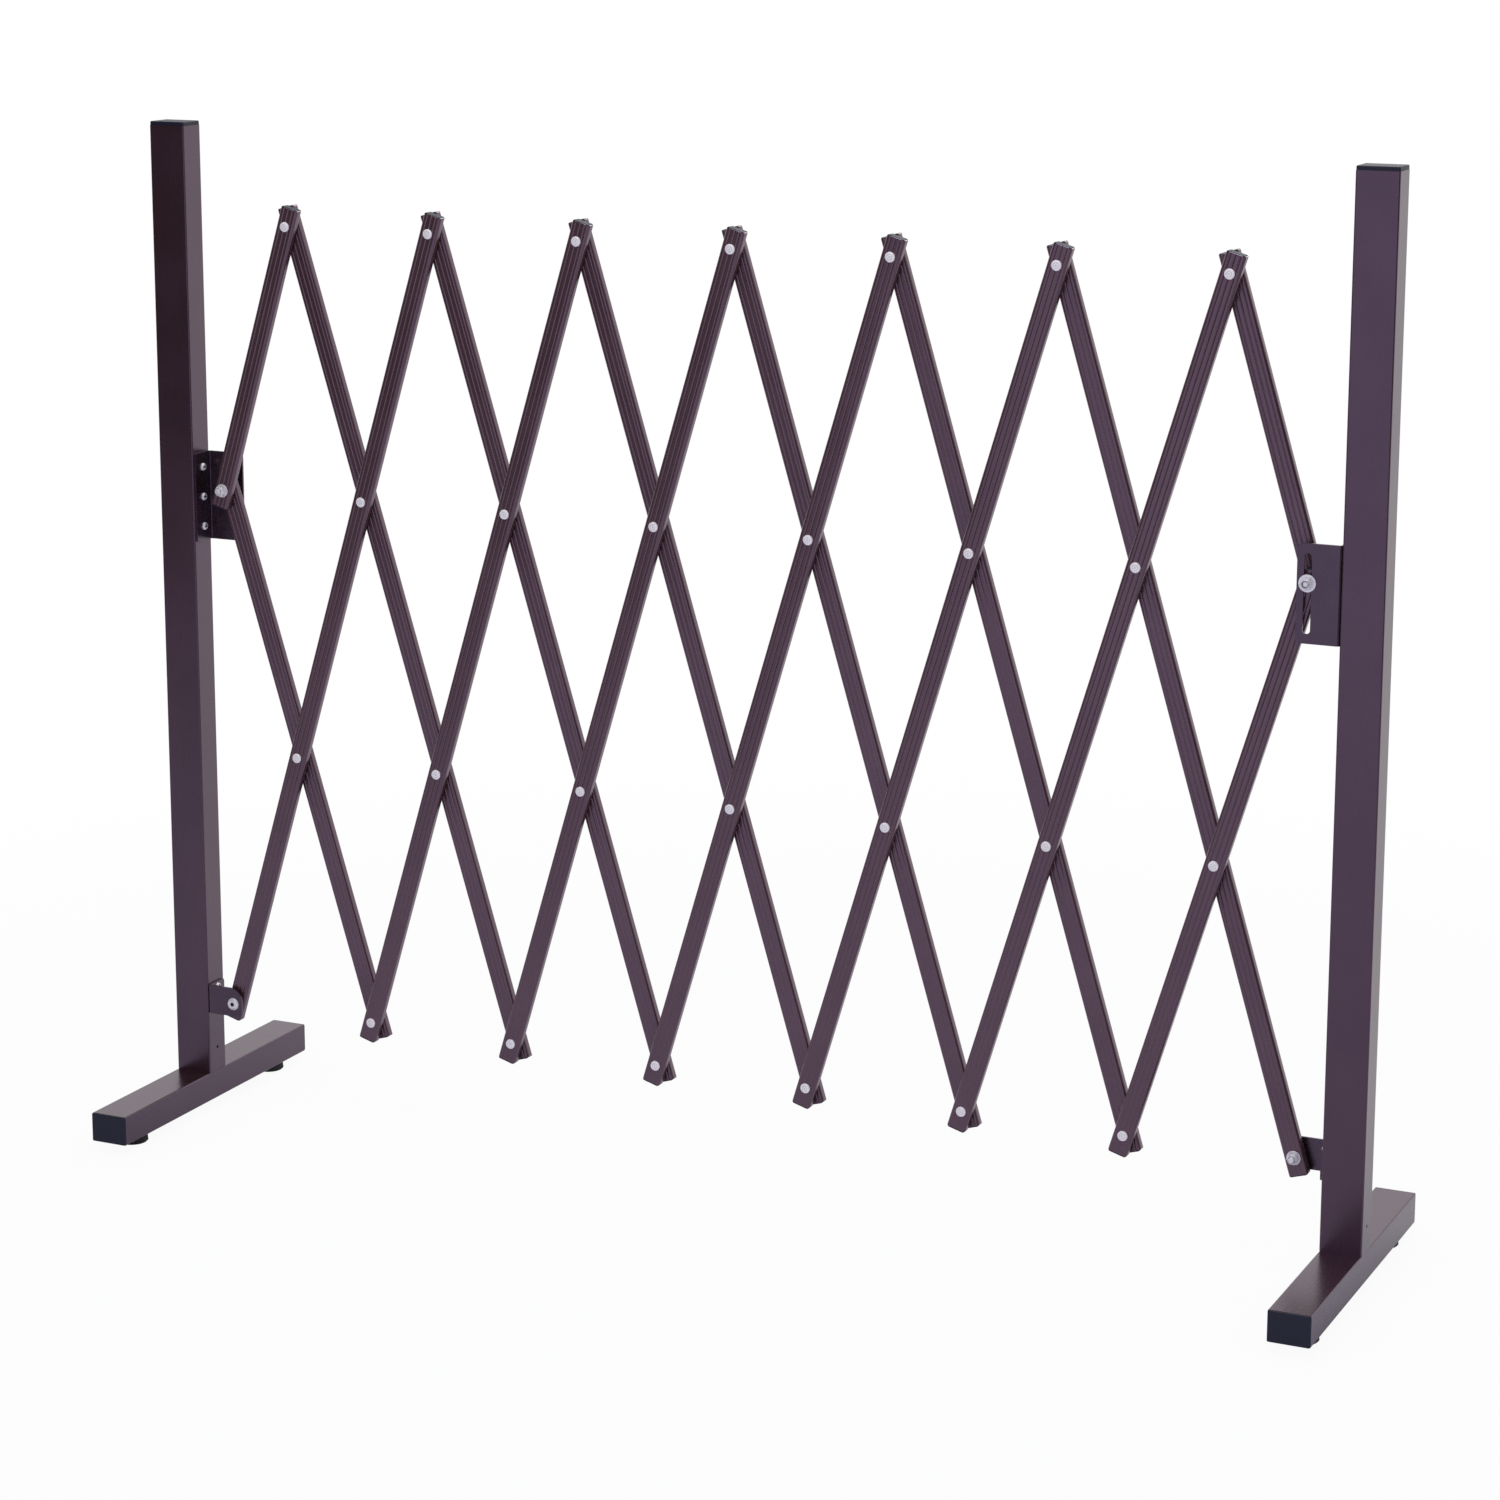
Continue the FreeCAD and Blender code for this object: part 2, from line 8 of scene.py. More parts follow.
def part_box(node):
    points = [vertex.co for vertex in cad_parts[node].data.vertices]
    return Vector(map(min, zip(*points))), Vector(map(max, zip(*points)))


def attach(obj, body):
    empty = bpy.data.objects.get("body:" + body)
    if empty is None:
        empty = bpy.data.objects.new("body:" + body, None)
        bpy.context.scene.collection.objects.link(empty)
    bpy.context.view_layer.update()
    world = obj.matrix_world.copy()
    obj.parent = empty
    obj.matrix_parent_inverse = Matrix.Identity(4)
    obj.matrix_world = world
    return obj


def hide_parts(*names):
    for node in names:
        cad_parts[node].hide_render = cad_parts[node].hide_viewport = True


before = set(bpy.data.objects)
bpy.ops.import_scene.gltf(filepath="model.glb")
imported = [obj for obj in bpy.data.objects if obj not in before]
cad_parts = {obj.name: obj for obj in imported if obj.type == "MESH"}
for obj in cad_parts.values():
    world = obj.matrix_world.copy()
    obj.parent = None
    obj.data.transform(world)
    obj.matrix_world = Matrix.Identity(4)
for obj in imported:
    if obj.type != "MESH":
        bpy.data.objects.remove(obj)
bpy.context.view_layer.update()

bl_info = {
    "name": "Expandable barrier",
    "version": (1, 0, 0),
    "blender": (4, 5, 0),
    "location": "3D View > Sidebar > Barrier",
    "description": "Dresses the expandable barrier: coats, fasteners and a plain studio",
    "category": "Object",
}

# Metres. X runs along the barrier, Y through it (front is -Y), Z up.
MM = 0.001
COLUMNS = 14
BARS = COLUMNS // 2 + 1
ROWS = 4
SIDES = ("left", "right")
# Bolts, washers and nuts have this many sides. Edges over this angle stay sharp.
SEGMENTS = 48
CREASE = math.radians(34)


def linear(code):
    """The scene-linear colour of an sRGB hex value: the sRGB curve undone on each channel."""
    srgb = np.array([int(code[n : n + 2], 16) for n in (1, 3, 5)]) / 255
    toe, curve = srgb / 12.92, ((srgb + 0.055) / 1.055) ** 2.4
    return tuple(np.where(srgb <= 0.04045, toe, curve).tolist())


def length(name, description, millimetres):
    """A length property whose default is given in millimetres."""
    return bpy.props.FloatProperty(
        name=name, description=description, default=millimetres * MM, unit="LENGTH", precision=5
    )


def colour(name, description, code):
    """A colour property whose default is given as an sRGB hex value."""
    return bpy.props.FloatVectorProperty(
        name=name,
        description=description,
        default=linear(code),
        subtype="COLOR",
        size=3,
        min=0.0,
        max=1.0,
    )


class BarrierSizes(bpy.types.PropertyGroup):
    """Sizes of the small metal pieces"""

    rivet_head: length("Rivet head", "Diameter of a rivet's head", 10.0)
    rivet_height: length("Rivet height", "How far a rivet's head stands off the bar", 1.8)
    rivet_shank: length("Rivet shank", "Diameter of a rivet's shank", 5.0)
    rivet_dimple: length("Rivet dimple", "Depth of the mark that the setting tool leaves", 0.3)
    screw_head: length("Screw head", "Diameter of a bracket screw's pan head", 8.0)
    screw_height: length("Screw head height", "Height of a bracket screw's pan head", 2.8)
    screw_shank: length("Screw shank", "Diameter of a bracket screw", 4.2)
    screw_length: length("Screw length", "Length of a bracket screw under its head", 13.0)
    screw_pitch: length("Screw pitch", "Rise of a bracket screw's thread in one turn", 1.4)
    upper_screw_spacing: length("Upper screws", "Spacing of an upper bracket's screws", 30.5)
    lower_screw_spacing: length("Lower screws", "Spacing of a lower bracket's screws", 19.5)
    bolt: length("Bolt", "Thread diameter of the bolts", 6.0)
    bolt_pitch: length("Thread pitch", "Rise of a bolt's thread in one turn", 1.0)
    bolt_thread: length("Thread length", "Length of a bolt's thread", 5.0)
    bolt_head: length("Bolt head", "Diameter of a bolt's button head", 13.0)
    bolt_height: length("Bolt head height", "Height of a bolt's button head", 2.8)
    bolt_socket: length("Bolt socket", "Hexagon socket of a bolt, across its flats", 4.0)
    socket_depth: length("Socket depth", "Depth of a bolt's socket", 2.0)
    slot_recess: length("Slot bolt recess", "How far the right slide bolt ends in its nut", 1.5)
    nut_width: length("Nut width", "Lock nut across its flats", 10.0)
    nut_hexagon: length("Nut hexagon", "Height of a lock nut's hexagon", 4.4)
    nut_collar: length("Nut collar", "Diameter of a lock nut's collar", 8.8)
    nut_height: length("Nut height", "Whole height of a lock nut", 6.4)
    washer: length("Washer", "Diameter of the small washers", 13.5)
    washer_thickness: length("Washer thickness", "Thickness of the small washers", 1.2)
    wide_washer: length("Wide washer", "Diameter of the washers on the slots", 16.0)
    wide_washer_thickness: length("Wide washer thickness", "Thickness of those washers", 1.5)
    running_fit: length("Running fit", "Clearance of what turns or slides", 0.05)
    spacer: length("Spacer", "Diameter of the spacers behind the tabs", 12.0)
    sheet: length("Bracket sheet", "Thickness of the folded brackets", 2.0)
    tube_wall: length("Tube wall", "Wall of the posts and feet", 1.5)
    foot_screw_spacing: length("Foot screws", "Spacing of the two screws in a foot", 18.0)
    foot_screw_length: length("Foot screw length", "Length of a foot screw under its head", 31.5)
    bar_width: length("Bar width", "Width of a lattice bar", 19.5)
    bar_edge: length("Bar edge", "Radius of a bar's edges", 3.0)
    bar_overhang: length("Bar overhang", "From a bar's last hole to its cut end", 18.6)
    bar_end_radius: length("Bar end radius", "Radius of the corners of a bar's end", 2.8)
    plug_rim: length("Plug rim", "Thickness of the rim of a bar's end plug", 0.9)
    # The bright cut edge is partly real and partly a painted highlight: only the upper ends have
    # it.
    cut_edge_and_highlight: length("Cut line", "Height of the bare line at a bar's upper end", 0.4)


class BarrierColours(bpy.types.PropertyGroup):
    """Colours of the finishes"""

    coat: colour("Coat", "Dark brown coat of the posts and feet", "#28161a")
    coat_light: colour("Coat, light", "That coat where it lies thinner", "#2e1b21")
    bar_coat: colour("Bar coat", "Paler brown coat of the bars", "#382322")
    bar_coat_light: colour("Bar coat, light", "That coat where it lies thinner", "#3e2929")
    coat_gloss: colour("Coat gloss", "Cast of the coats' reflections", "#ffdcff")
    powder: colour("Powder", "Darker powder coat of the brackets", "#190f12")
    powder_light: colour("Powder, light", "The powder coat's paler clouds", "#20151a")
    plastic: colour("Plastic", "Black plastic of the caps and plugs", "#0d1024")
    rubber: colour("Rubber", "Rubber of the pads", "#151517")
    rivet: colour("Rivet", "Bare aluminium of the rivets", "#f6f0f4")
    # Painted shade: this greyer aluminium darkens the rivets' dimples and rings, where shade falls.
    rivet_hollow_shade: colour("Rivet mark", "Where the setting tool pressed", "#d4ced4")
    zinc: colour("Zinc", "Zinc plating of the screws, bolts and nuts", "#e6e2e8")
    # Painted shade: this dark steel stands for the shade inside the bolts' sockets and screws'
    # crosses.
    socket: colour("Socket", "Oiled steel inside the sockets and recesses", "#454144")
    nylon: colour("Nylon", "Ring inside a lock nut", "#8f8e8a")
    floor: colour("Floor", "Studio floor", "#d8d9e6")
    front_light: colour("Front light", "Cool light from the front", "#e6e8ff")


def sizes():
    """The sizes in this scene."""
    return bpy.context.scene.barrier_sizes


def colours():
    """The colours in this scene."""
    return bpy.context.scene.barrier_colours


# Places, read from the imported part


def pin(node):
    """Where a bolt's axis crosses the XZ plane: the middle of its node's box."""
    low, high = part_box(node)
    middle = (low + high) / 2
    return np.array([middle.x, 0.0, middle.z])


def lattice():
    """Left pivot, column pitch and row pitch: two pivots span all the columns, and a slide bolt
    stands two rows up."""
    left, right = pin("left_pivot_bolt"), pin("right_pivot_bolt")
    slide = pin("left_slide_bolt")
    return left, (right[0] - left[0]) / COLUMNS, (slide[2] - left[2]) / 2


def crossing(column, row):
    """The axis of a lattice pin: the left pivot moved by whole columns and rows."""
    left, column_pitch, row_pitch = lattice()
    return left + np.array([column * column_pitch, 0.0, row * row_pitch])


def bar_pins(number, side):
    """(column, row) of each pin of a front (side 1) or rear (side -1) bar, lowest first."""
    first = 2 * number - 4 if side > 0 else 2 * number
    found = [(first + side * row, row) for row in range(ROWS)]
    return [(column, row) for column, row in found if 0 <= column <= COLUMNS]


def half_depth():
    """Half the lattice's depth: the front bars' faces are that far from the middle."""
    return -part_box("front_bar_2")[0].y


# Surfaces: a shell is its points, its quads, its triangles and the number of each face's finish


def shell_about(axis, first, origin, along, radius, looped=False, finish=0):
    """A surface round an axis. A point is
    origin + along * axis + radius * (cos(a) * first + sin(a) * second),
    where the angle a runs through a whole turn across the grid and the path runs down it. The
    ends close on the axis, or onto each other where the path is a loop. Along the axis, the outer
    side of the path goes forwards. The finish is one number, or one for each face of the grid."""
    axis, first, origin = (np.asarray(v, float) for v in (axis, first, origin))
    along, radius = np.broadcast_arrays(along, radius)
    rings, segments = along.shape
    numbers = np.broadcast_to(finish, (rings if looped else rings - 1, segments))
    angle = 2 * np.pi * np.arange(segments) / segments
    out = np.cos(angle)[:, None] * first + np.sin(angle)[:, None] * np.cross(axis, first)
    points = (origin + along[..., None] * axis + radius[..., None] * out).reshape(-1, 3)
    here = np.arange(rings * segments).reshape(rings, segments)
    beside = np.roll(here, -1, axis=1)
    quads = np.stack([here[:-1], beside[:-1], beside[1:], here[1:]], axis=-1).reshape(-1, 4)
    if looped:
        seam = np.stack([here[-1], beside[-1], beside[0], here[0]], axis=-1)
        return points, np.concatenate([quads, seam]), np.empty((0, 3), int), numbers.ravel()
    poles = origin + np.array([[along[0].mean()], [along[-1].mean()]]) * axis
    start = np.full(segments, rings * segments)
    end = start + 1
    near_fan = np.stack([start, beside[0], here[0]], axis=-1)
    far_fan = np.stack([here[-1], beside[-1], end], axis=-1)
    numbers = np.concatenate([numbers, numbers[:1], numbers[-1:]])
    fans = np.concatenate([near_fan, far_fan])
    return np.concatenate([points, poles]), quads, fans, numbers.ravel()


def turns(segments=SEGMENTS):
    """Angles of one whole turn, as a row."""
    return 2 * np.pi * np.arange(segments)[None, :] / segments


def down(*values):
    """Values down a path, as a column, to spread over the angles of a row."""
    return np.array(values, float)[:, None]


def hexagon(width, angle):
    """Radius of a hexagon at an angle: half its width across the flats over the cosine of the angle
    from a flat."""
    return width / 2 / np.cos(np.mod(angle, np.pi / 3) - np.pi / 6)


def thread_wave(along, pitch, angle):
    """A thread's triangle wave, 0 at the crest and 1 at the root:
    |2 * fraction(distance / pitch - angle / whole turn) - 1|."""
    return np.abs(2 * np.mod(along / pitch - angle / (2 * np.pi), 1) - 1)


def half_turn(shell):
    """The same shell on the right stand: x and y change sign."""
    points, quads, triangles, numbers = shell
    return points * np.array([-1.0, -1.0, 1.0]), quads, triangles, numbers


def add_piece(name, shells, finishes, body, slot, *nodes):
    """Joins shells into one object at the origin, with its place in its mesh, riding on a body."""
    starts = np.cumsum([0] + [len(shell[0]) for shell in shells[:-1]])
    faces = []
    for start, (_, quads, triangles, _) in zip(starts, shells):
        faces += (quads + start).tolist() + (triangles + start).tolist()
    mesh = bpy.data.meshes.new(name)
    mesh.from_pydata(np.concatenate([shell[0] for shell in shells]), [], faces)
    for material in finishes:
        mesh.materials.append(material)
    numbers = np.concatenate([shell[3] for shell in shells])
    mesh.polygons.foreach_set("material_index", numbers.astype(np.int32))
    mesh.polygons.foreach_set("use_smooth", np.ones(len(faces), bool))
    mesh.set_sharp_from_angle(angle=CREASE)
    mesh.validate()
    mesh.update()
    piece = bpy.data.objects.new(name, mesh)
    bpy.context.scene.collection.objects.link(piece)
    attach(piece, body)
    if nodes:
        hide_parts(*nodes)


def rivet(place):
    """A rivet along Y. A head's height at radius r is H * sqrt(1 - (r / R) ** 6), less a round
    dimple at the centre and a shallow ring where the setting tool pressed, whose faces are painted
    greyer as painted shade in these hollows. The same head stands at both ends of the shank."""
    size = sizes()
    seat, reach = half_depth(), size.rivet_head / 2
    dimple, ring, ring_width, ring_share, edge = 0.16, 0.5, 0.06, 0.45, 0.01
    segments = 40
    part = np.concatenate([np.linspace(0.04, 0.9, 20), np.linspace(0.92, 1.0, 7)])
    height = size.rivet_height * np.sqrt(1 - part**6)
    height -= size.rivet_dimple * np.exp(-((part / dimple) ** 4))
    height -= ring_share * size.rivet_dimple * np.exp(-(((part - ring) / ring_width) ** 2))
    height[-1] = 0.0
    radius = np.concatenate([part * reach, [size.rivet_shank / 2]])
    along = np.concatenate([seat + height, [seat]])
    radius = down(*radius, *radius[::-1])
    along = down(*-along, *along[::-1]) + turns(segments) * 0
    between = (part[1:] + part[:-1]) / 2
    # The dimple's and ring's faces take the greyer second finish: painted shade in these hollows.
    pressed = (between < dimple + edge) | (np.abs(between - ring) < ring_width + edge)
    marks = down(*pressed, 0, 0, 0, *pressed[::-1]).astype(int)
    return shell_about((0, 1, 0), (1, 0, 0), place, along, radius, finish=marks)


def screw(place, axis, first):
    """A pan-head screw whose shank points along the axis. The head's height at radius r is
    H * (1 - (r / R) ** 4) ** 0.5, less a cross: each arm is a trough that is deepest at the
    centre and gone at its tip. The cross's faces are painted dark, as painted shade in the recess."""
    size = sizes()
    reach, high, shank = size.screw_head / 2, size.screw_height, size.screw_shank / 2
    arm, arm_edge, tip, tip_slope, cross_depth = 0.2, 0.06, 0.72, 0.35, 0.62
    thread_depth, point, shade_from, segments = 0.22, 0.1, 0.3, 64
    angle = turns(segments)
    part = np.concatenate([np.linspace(0.03, 0.9, 26), np.linspace(0.93, 1.0, 5)])[:, None]
    dome = high * np.sqrt(1 - part**4)
    u, v = part * np.cos(angle), part * np.sin(angle)
    trough = 0.0
    for across, lengthways in ((u, v), (v, u)):
        side = np.clip((arm - np.abs(across)) / arm_edge, 0, 1)
        end = np.clip((tip - np.abs(lengthways)) / tip_slope, 0, 1)
        trough = np.maximum(trough, side * end)
    head = -(dome - cross_depth * high * trough)
    straight = size.screw_length - 2 * shank
    ridge = np.linspace(0, straight, 34)[:, None] + angle * 0
    thread = shank * (1 - thread_depth * thread_wave(ridge, size.screw_pitch, angle))
    along = np.concatenate([head, ridge, size.screw_length + angle * 0])
    radius = np.concatenate([part * reach + angle * 0, thread, point * shank + angle * 0])
    # The cross's faces take the second finish, painted shade in the recess.
    dark = np.zeros((len(along) - 1, segments), int)
    dark[: len(part) - 1] = trough[:-1] > shade_from
    return shell_about(axis, first, place, along, radius, finish=dark)


def bolt(place, axis, first, reach):
    """A button-head bolt whose shank points along the axis from its seat at the place. The head
    falls from its crown to its rim as a quarter ellipse round a hexagon socket in painted shade.
    The last turns of the shank are thread, whose radius drops by a triangle wave."""
    size = sizes()
    head, high, shank = size.bolt_head / 2, size.bolt_height, size.bolt / 2
    crown, rim, thread_depth, point = 0.58 * head, 0.12, 0.55, 0.74
    ease, step, run_out = 0.25 * MM, 0.2 * MM, 0.7 * MM
    deep = size.socket_depth
    angle = turns()
    bend = np.linspace(0.0, np.pi / 2, 12)[:, None] + angle * 0
    ridge = np.linspace(reach - size.bolt_thread, reach - run_out, 40)[:, None] + angle * 0
    along = [
        down(deep + step, deep, ease, 0.0) - high + angle * 0,
        -high * (rim + (1 - rim) * np.cos(bend)),
        down(0.0, 0.0, reach - size.bolt_thread - step) + angle * 0,
        ridge,
        reach + angle * 0,
    ]
    socket = down(0.25, 1.0, 1.0, 1.0) * hexagon(size.bolt_socket, angle)
    radius = [
        socket + down(0.0, 0.0, 0.0, ease),
        crown + (head - crown) * np.sin(bend),
        down(head, shank, shank) + angle * 0,
        shank - thread_depth * size.bolt_pitch * thread_wave(ridge, size.bolt_pitch, angle),
        point * shank + angle * 0,
    ]
    along, radius = np.concatenate(along), np.concatenate(radius)
    # The socket's faces take the second finish, painted shade in the socket.
    dark = (np.arange(len(along) - 1) < 2).astype(int)[:, None]
    return shell_about(axis, first, place, along, radius, finish=dark)


def collar(place, axis, first, across, bore, thick):
    """A washer or spacer on the axis: a flat ring whose outer edges are eased by a tenth of its
    thickness."""
    ease, outer, inner = 0.1 * thick, across / 2, bore / 2
    along = down(0, ease, thick - ease, thick, thick, 0) + turns() * 0
    radius = down(outer - ease, outer, outer, outer - ease, inner, inner)
    return shell_about(axis, first, place, along, radius, looped=True)


def lock_nut(place, axis, first):
    """A lock nut with its seat at the place, as steel and nylon shells. Its radius is the smaller
    of the hexagon's and a cone's that opens by 1.73 for each step in from either face. Above it a
    round collar, turned in at its top, holds a nylon ring."""
    size = sizes()
    bore, rim = size.bolt / 2 + size.running_fit, size.nut_collar / 2
    high, top = size.nut_hexagon, size.nut_height
    cone_start, cone_slope, lip, groove = 0.485 * size.nut_width, 1.73, 0.9 * MM, 0.5 * MM
    angle = turns()
    rise = np.linspace(0.0, lip, 4)
    level = np.concatenate([rise, high - rise[::-1]])[:, None]
    cone = cone_start + cone_slope * np.minimum(level, high - level)
    body = np.minimum(hexagon(size.nut_width, angle), cone)
    below_top = down(lip, 0.45 * MM, 0.12 * MM, 0.0, groove, groove)
    up = np.concatenate([down(high), top - below_top, down(0.0)])
    out = down(rim, rim, 0.965 * rim, 0.9 * rim, 0.82 * rim, 0.8 * rim, bore, bore)
    along = np.concatenate([level + angle * 0, up + angle * 0])
    radius = np.concatenate([body, out + angle * 0])
    steel = shell_about(axis, first, place, along, radius, looped=True)
    ring_along = top - down(0.6, 0.35, 0.3, 0.35, 0.6) * MM + angle * 0
    ring_radius = down(0.79, 0.79, 0.7, 0.64, 0.62) * rim
    nylon = shell_about(axis, first, place, ring_along, ring_radius, looped=True, finish=2)
    return [steel, nylon]


def cut_edge_and_highlight(number, side):
    """The bare cut edge at the upper end of a bar, drawn bright at that end only: partly the real
    edge and partly a painted highlight where light falls from above. It is a rounded rectangle's
    outline carried along a short loop, a little proud of the plug's rim. The outline is a square
    path whose corners are quarter circles, leaned onto the bar. Its half width is the bar's less
    r - sqrt(r ** 2 - (r - t) ** 2), where the end's corners of radius r have been rounded off over
    the rim's thickness t."""
    size = sizes()
    _, column_pitch, row_pitch = lattice()
    lean = side * math.atan2(column_pitch, row_pitch)
    pins = bar_pins(number, side)
    span = (len(pins) - 1) * math.hypot(column_pitch, row_pitch)
    low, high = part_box(("front" if side > 0 else "rear") + f"_bar_{number}")
    thick, middle = high.y - low.y, (high.y + low.y) / 2
    steps = 7
    corner = np.repeat(np.arange(4), steps)
    angle = np.tile(np.linspace(0, np.pi / 2, steps), 4) + corner * np.pi / 2
    edge, end_radius = size.bar_edge, size.bar_end_radius
    lost = end_radius - math.sqrt(end_radius**2 - (end_radius - size.plug_rim) ** 2)
    centre_x = np.array([1, -1, -1, 1])[corner] * (size.bar_width / 2 - lost - edge)
    centre_y = np.array([1, 1, -1, -1])[corner] * (thick / 2 - edge)
    proud = down(-0.25, 0.03, 0.05, 0.03, -0.25) * MM
    step = down(0.0, 0.04, 0.5, 0.96, 1.0) * size.cut_edge_and_highlight
    x = centre_x + (edge + proud) * np.cos(angle)
    y = centre_y + (edge + proud) * np.sin(angle) + middle
    z = span + size.bar_overhang + step + angle * 0
    leaned_x = x * math.cos(lean) + z * math.sin(lean)
    leaned_z = z * math.cos(lean) - x * math.sin(lean)
    points = np.stack([leaned_x, y, leaned_z], axis=-1) + crossing(*pins[0])
    here = np.arange(z.size).reshape(z.shape)
    beside, above = np.roll(here, -1, axis=1), np.roll(here, -1, axis=0)
    across = np.roll(beside, -1, axis=0)
    quads = np.stack([here, beside, across, above], axis=-1).reshape(-1, 4)
    return points.reshape(-1, 3), quads, np.empty((0, 3), int), np.zeros(len(quads), int)


# Finishes


def add(tree, kind, links=(), **values):
    """Adds a node. Names that are settings of the node are set on it, other names are input sockets
    by their label with spaces as underscores, and links are (input, node, output)."""
    node = tree.nodes.new(kind)
    for name, value in values.items():
        if hasattr(node, name):
            setattr(node, name, value)
        else:
            node.inputs[name.replace("_", " ")].default_value = value
    for socket, source, output in links:
        tree.links.new(source.outputs[output], node.inputs[socket])
    return node


def per_metre(millimetres):
    """Scale of a pattern whose features are that far apart."""
    return 1 / (millimetres * MM)


def blank_material(name):
    """A new material with no nodes, and its tree."""
    material = bpy.data.materials.new(name)
    material.use_nodes = True
    material.node_tree.nodes.clear()
    return material, material.node_tree


def extrusion_coat(name, turn, shade, pale, ior):
    """Satin coloured coat on extruded aluminium. The turn brings the extrusion's length onto the
    pattern's Z."""
    # Baked satin coat over extruded aluminium: dark brown with a violet cast, paler at a glancing
    # angle, with soft lines along the extrusion from the die and a fine orange peel.
    # The die lines are near 0.3 mm apart and are drawn at 1.1 mm to show.
    line_spacing, line_length, cloud_size, peel_size = 1.1, 260, 70, 0.9
    material, tree = blank_material(name)
    place = add(tree, "ShaderNodeTexCoord")
    at = [("Vector", place, "Object")]
    along = add(tree, "ShaderNodeMapping", at, Rotation=turn)
    stretch = add(
        tree,
        "ShaderNodeMapping",
        [("Vector", along, "Vector")],
        Scale=(1, 1, line_spacing / line_length),
    )
    lines = add(
        tree,
        "ShaderNodeTexNoise",
        [("Vector", stretch, "Vector")],
        Scale=per_metre(line_spacing),
        Detail=3.0,
    )
    cloud = add(tree, "ShaderNodeTexNoise", at, Scale=per_metre(cloud_size), Detail=2.0)
    peel = add(tree, "ShaderNodeTexNoise", at, Scale=per_metre(peel_size), Detail=2.0)
    tint = add(tree, "ShaderNodeValToRGB", [("Fac", cloud, "Fac")])
    dark, light = tint.color_ramp.elements
    dark.position, dark.color = 0.38, (*shade, 1)
    light.position, light.color = 0.62, (*pale, 1)
    rough = add(
        tree, "ShaderNodeMapRange", [("Value", lines, "Fac")], To_Min=0.22, To_Max=0.30
    )
    grooves = add(
        tree, "ShaderNodeBump", [("Height", lines, "Fac")], Strength=0.10, Distance=0.05 * MM
    )
    skin = add(
        tree,
        "ShaderNodeBump",
        [("Height", peel, "Fac"), ("Normal", grooves, "Normal")],
        Strength=0.14,
        Distance=0.05 * MM,
    )
    shader = add(
        tree,
        "ShaderNodeBsdfPrincipled",
        [("Base Color", tint, "Color"), ("Roughness", rough, "Result"), ("Normal", skin, "Normal")],
        IOR=ior,
        Specular_IOR_Level=1.0,
        Specular_Tint=(*colours().coat_gloss, 1),
    )
    add(tree, "ShaderNodeOutputMaterial", [("Surface", shader, "BSDF")])
    return material


def bracket_coat():
    """The coat on folded steel sheet."""
    # Powder coat on steel sheet: a darker brown than the bars', with the orange peel of sprayed
    # powder. The peel is near 0.8 mm and is drawn at 1.4 mm to show.
    peel_size, cloud_size = 1.4, 24
    material, tree = blank_material("powder_coated_steel")
    place = add(tree, "ShaderNodeTexCoord")
    at = [("Vector", place, "Object")]
    peel = add(tree, "ShaderNodeTexNoise", at, Scale=per_metre(peel_size), Detail=3.0)
    cloud = add(tree, "ShaderNodeTexNoise", at, Scale=per_metre(cloud_size), Detail=2.0)
    tint = add(tree, "ShaderNodeValToRGB", [("Fac", cloud, "Fac")])
    dark, light = tint.color_ramp.elements
    dark.position, dark.color = 0.35, (*colours().powder, 1)
    light.position, light.color = 0.68, (*colours().powder_light, 1)
    rough = add(tree, "ShaderNodeMapRange", [("Value", peel, "Fac")], To_Min=0.22, To_Max=0.31)
    skin = add(
        tree, "ShaderNodeBump", [("Height", peel, "Fac")], Strength=0.2, Distance=0.08 * MM
    )
    shader = add(
        tree,
        "ShaderNodeBsdfPrincipled",
        [("Base Color", tint, "Color"), ("Roughness", rough, "Result"), ("Normal", skin, "Normal")],
        IOR=1.5,
        Specular_IOR_Level=1.0,
        Specular_Tint=(*colours().coat_gloss, 1),
    )
    add(tree, "ShaderNodeOutputMaterial", [("Surface", shader, "BSDF")])
    return material


def black_plastic():
    """Moulded plastic of the caps and plugs."""
    # Moulded black polypropylene: near-black with a cold cast, the soft grain of an etched mould
    # and paler patches from handling. The grain is near 0.3 mm and is drawn at 0.8 mm to show.
    grain_size, patch_size = 0.8, 18
    material, tree = blank_material("moulded_polypropylene")
    place = add(tree, "ShaderNodeTexCoord")
    at = [("Vector", place, "Object")]
    grain = add(tree, "ShaderNodeTexNoise", at, Scale=per_metre(grain_size), Detail=2.0)
    patch = add(tree, "ShaderNodeTexNoise", at, Scale=per_metre(patch_size), Detail=3.0)
    tint = add(tree, "ShaderNodeValToRGB", [("Fac", patch, "Fac")])
    base = np.array(colours().plastic)
    dark, light = tint.color_ramp.elements
    dark.position, dark.color = 0.35, (*base, 1)
    light.position, light.color = 0.75, (*(1.5 * base), 1)
    rough = add(tree, "ShaderNodeMapRange", [("Value", patch, "Fac")], To_Min=0.42, To_Max=0.58)
    skin = add(
        tree, "ShaderNodeBump", [("Height", grain, "Fac")], Strength=0.25, Distance=0.06 * MM
    )
    shader = add(
        tree,
        "ShaderNodeBsdfPrincipled",
        [("Base Color", tint, "Color"), ("Roughness", rough, "Result"), ("Normal", skin, "Normal")],
        IOR=1.49,
        Specular_IOR_Level=0.38,
    )
    add(tree, "ShaderNodeOutputMaterial", [("Surface", shader, "BSDF")])
    return material


